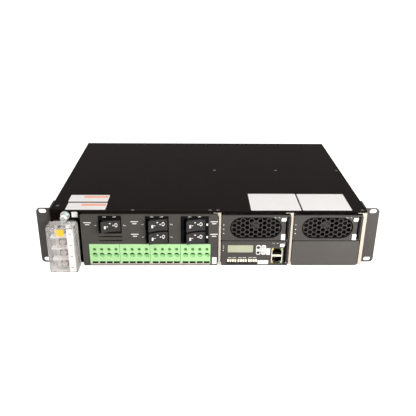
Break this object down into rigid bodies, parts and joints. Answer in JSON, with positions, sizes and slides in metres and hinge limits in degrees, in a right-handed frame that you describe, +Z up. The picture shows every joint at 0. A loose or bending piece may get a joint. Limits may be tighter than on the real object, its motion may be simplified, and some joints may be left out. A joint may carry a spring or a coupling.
{
  "type": "rack power shelf",
  "caption": "Low rack-mounted power shelf with plug-in rectifiers, a monitoring module, load breakers and pluggable outputs.",
  "frame": {"origin": "underside of the chassis, halfway across, in the plane where the ears meet the rack posts", "axes": "+X to the right as seen from the front, +Y to the back, +Z up"},
  "size_m": [0.4826, 0.3326, 0.0861],
  "materials": {
    "chassis_paint": "black powder coat",
    "ear_paint": "dark grey powder coat",
    "screw_steel": "zinc plated",
    "panel_paint": "dark grey satin paint",
    "divider_paint": "cream paint",
    "galvanised": "galvanised sheet",
    "board_laminate": "solder mask",
    "connector_plastic": "moulded",
    "copper": "tinned copper bar",
    "breaker_plastic": "moulded",
    "rocker_plastic": "moulded, satin",
    "terminal_green": "moulded",
    "barrier_plastic": "moulded",
    "clear_plastic": "clear moulded",
    "front_plastic": "moulded, fine grain",
    "fan_plastic": "moulded",
    "handle_metal": "pressed, painted",
    "latch_plastic": "moulded",
    "display": "display pane",
    "key_rubber": "moulded rubber",
    "socket_metal": "plated shield",
    "alarm_plastic": "moulded",
    "blank_paint": "grey satin paint"
  },
  "bodies": {
    "shelf": {"chassis_tray": "chassis_paint", "top_cover": "chassis_paint", "ear_left": "ear_paint", "ear_right": "ear_paint", "chassis_screws": "screw_steel", "distribution_panel": "panel_paint", "divider_left": "divider_paint", "divider_middle": "divider_paint", "divider_right": "divider_paint", "bay_shelf": "galvanised", "backplane_board": "board_laminate", "backplane_connectors": "connector_plastic", "negative_busbar": "copper", "positive_busbar": "copper", "dc_header": "terminal_green", "ac_terminal_block": "barrier_plastic", "ac_terminal_screws": "screw_steel", "ground_screw": "screw_steel", "battery_breaker_case": "breaker_plastic", "load_breaker_1_case": "breaker_plastic", "load_breaker_2_case": "breaker_plastic", "load_breaker_3_case": "breaker_plastic", "load_breaker_4_case": "breaker_plastic"},
    "battery_breaker_rocker": {"battery_breaker_rocker": "rocker_plastic"},
    "load_breaker_1_rocker": {"load_breaker_1_rocker": "rocker_plastic"},
    "load_breaker_2_rocker": {"load_breaker_2_rocker": "rocker_plastic"},
    "load_breaker_3_rocker": {"load_breaker_3_rocker": "rocker_plastic"},
    "load_breaker_4_rocker": {"load_breaker_4_rocker": "rocker_plastic"},
    "dc_plug_1": {"dc_plug_1": "terminal_green"},
    "dc_plug_2": {"dc_plug_2": "terminal_green"},
    "dc_plug_3": {"dc_plug_3": "terminal_green"},
    "dc_plug_4": {"dc_plug_4": "terminal_green"},
    "ac_cover": {"ac_cover": "clear_plastic"},
    "rectifier_1": {"rectifier_1_case": "galvanised", "rectifier_1_front": "front_plastic", "rectifier_1_board": "board_laminate", "rectifier_1_fan_frame": "fan_plastic"},
    "rectifier_1_handle": {"rectifier_1_handle": "handle_metal"},
    "rectifier_1_latch": {"rectifier_1_latch": "latch_plastic"},
    "rectifier_1_fan": {"rectifier_1_fan_rotor": "fan_plastic"},
    "rectifier_2": {"rectifier_2_case": "galvanised", "rectifier_2_front": "front_plastic", "rectifier_2_board": "board_laminate", "rectifier_2_fan_frame": "fan_plastic"},
    "rectifier_2_handle": {"rectifier_2_handle": "handle_metal"},
    "rectifier_2_latch": {"rectifier_2_latch": "latch_plastic"},
    "rectifier_2_fan": {"rectifier_2_fan_rotor": "fan_plastic"},
    "monitor": {"monitor_case": "galvanised", "monitor_front": "front_plastic", "monitor_board": "board_laminate", "monitor_lcd": "display", "network_ports": "socket_metal", "alarm_terminals": "alarm_plastic"},
    "monitor_handle": {"monitor_handle": "handle_metal"},
    "monitor_latch": {"monitor_latch": "latch_plastic"},
    "monitor_key_up": {"monitor_key_up": "key_rubber"},
    "monitor_key_down": {"monitor_key_down": "key_rubber"},
    "monitor_key_enter": {"monitor_key_enter": "key_rubber"},
    "monitor_key_escape": {"monitor_key_escape": "key_rubber"},
    "blank_panel": {"blank_panel": "blank_paint"}
  },
  "joints": [
    {"name": "battery_breaker_switch", "type": "hinge", "parent": "shelf", "child": "battery_breaker_rocker", "pos_m": [-0.1382, -0.0105, 0.064], "axis": [0, 0, 1], "range_deg": [-32, 0]},
    {"name": "load_breaker_1_switch", "type": "hinge", "parent": "shelf", "child": "load_breaker_1_rocker", "pos_m": [-0.0726, -0.0105, 0.0656], "axis": [0, 0, 1], "range_deg": [-32, 0]},
    {"name": "load_breaker_2_switch", "type": "hinge", "parent": "shelf", "child": "load_breaker_2_rocker", "pos_m": [-0.0726, -0.0105, 0.046], "axis": [0, 0, 1], "range_deg": [-32, 0]},
    {"name": "load_breaker_3_switch", "type": "hinge", "parent": "shelf", "child": "load_breaker_3_rocker", "pos_m": [-0.0199, -0.0105, 0.0656], "axis": [0, 0, 1], "range_deg": [-32, 0]},
    {"name": "load_breaker_4_switch", "type": "hinge", "parent": "shelf", "child": "load_breaker_4_rocker", "pos_m": [-0.0199, -0.0105, 0.046], "axis": [0, 0, 1], "range_deg": [-32, 0]},
    {"name": "dc_plug_1_pull", "type": "slide", "parent": "shelf", "child": "dc_plug_1", "axis": [0, -1, 0], "range_m": [0, 0.025]},
    {"name": "dc_plug_2_pull", "type": "slide", "parent": "shelf", "child": "dc_plug_2", "axis": [0, -1, 0], "range_m": [0, 0.025]},
    {"name": "dc_plug_3_pull", "type": "slide", "parent": "shelf", "child": "dc_plug_3", "axis": [0, -1, 0], "range_m": [0, 0.025]},
    {"name": "dc_plug_4_pull", "type": "slide", "parent": "shelf", "child": "dc_plug_4", "axis": [0, -1, 0], "range_m": [0, 0.025]},
    {"name": "ac_cover_pull", "type": "slide", "parent": "shelf", "child": "ac_cover", "axis": [0, -1, 0], "range_m": [0, 0.04]},
    {"name": "rectifier_1_pull", "type": "slide", "parent": "shelf", "child": "rectifier_1", "axis": [0, -1, 0], "range_m": [0, 0.28]},
    {"name": "rectifier_1_handle_turn", "type": "hinge", "parent": "rectifier_1", "child": "rectifier_1_handle", "pos_m": [0.11125, -0.0076, 0.0471], "axis": [1, 0, 0], "range_deg": [0, 75]},
    {"name": "rectifier_1_latch_slide", "type": "slide", "parent": "rectifier_1", "child": "rectifier_1_latch", "axis": [-1, 0, 0], "range_m": [0, 0.003]},
    {"name": "rectifier_1_fan_spin", "type": "hinge", "parent": "rectifier_1", "child": "rectifier_1_fan", "pos_m": [0.0661, 0.0036, 0.0603], "axis": [0, 1, 0], "continuous": true},
    {"name": "rectifier_2_pull", "type": "slide", "parent": "shelf", "child": "rectifier_2", "axis": [0, -1, 0], "range_m": [0, 0.28]},
    {"name": "rectifier_2_handle_turn", "type": "hinge", "parent": "rectifier_2", "child": "rectifier_2_handle", "pos_m": [0.21245, -0.0076, 0.0471], "axis": [1, 0, 0], "range_deg": [0, 75]},
    {"name": "rectifier_2_latch_slide", "type": "slide", "parent": "rectifier_2", "child": "rectifier_2_latch", "axis": [-1, 0, 0], "range_m": [0, 0.003]},
    {"name": "rectifier_2_fan_spin", "type": "hinge", "parent": "rectifier_2", "child": "rectifier_2_fan", "pos_m": [0.1673, 0.0036, 0.0603], "axis": [0, 1, 0], "continuous": true},
    {"name": "monitor_pull", "type": "slide", "parent": "shelf", "child": "monitor", "axis": [0, -1, 0], "range_m": [0, 0.28]},
    {"name": "monitor_handle_turn", "type": "hinge", "parent": "monitor", "child": "monitor_handle", "pos_m": [0.11125, -0.0076, 0.0067], "axis": [1, 0, 0], "range_deg": [0, 75]},
    {"name": "monitor_latch_slide", "type": "slide", "parent": "monitor", "child": "monitor_latch", "axis": [-1, 0, 0], "range_m": [0, 0.003]},
    {"name": "monitor_key_up_press", "type": "slide", "parent": "monitor", "child": "monitor_key_up", "axis": [0, 1, 0], "range_m": [0, 0.0008], "stiffness_N_per_m": 400},
    {"name": "monitor_key_down_press", "type": "slide", "parent": "monitor", "child": "monitor_key_down", "axis": [0, 1, 0], "range_m": [0, 0.0008], "stiffness_N_per_m": 400},
    {"name": "monitor_key_enter_press", "type": "slide", "parent": "monitor", "child": "monitor_key_enter", "axis": [0, 1, 0], "range_m": [0, 0.0008], "stiffness_N_per_m": 400},
    {"name": "monitor_key_escape_press", "type": "slide", "parent": "monitor", "child": "monitor_key_escape", "axis": [0, 1, 0], "range_m": [0, 0.0008], "stiffness_N_per_m": 400},
    {"name": "blank_panel_pull", "type": "slide", "parent": "shelf", "child": "blank_panel", "axis": [0, -1, 0], "range_m": [0, 0.06]}
  ]
}
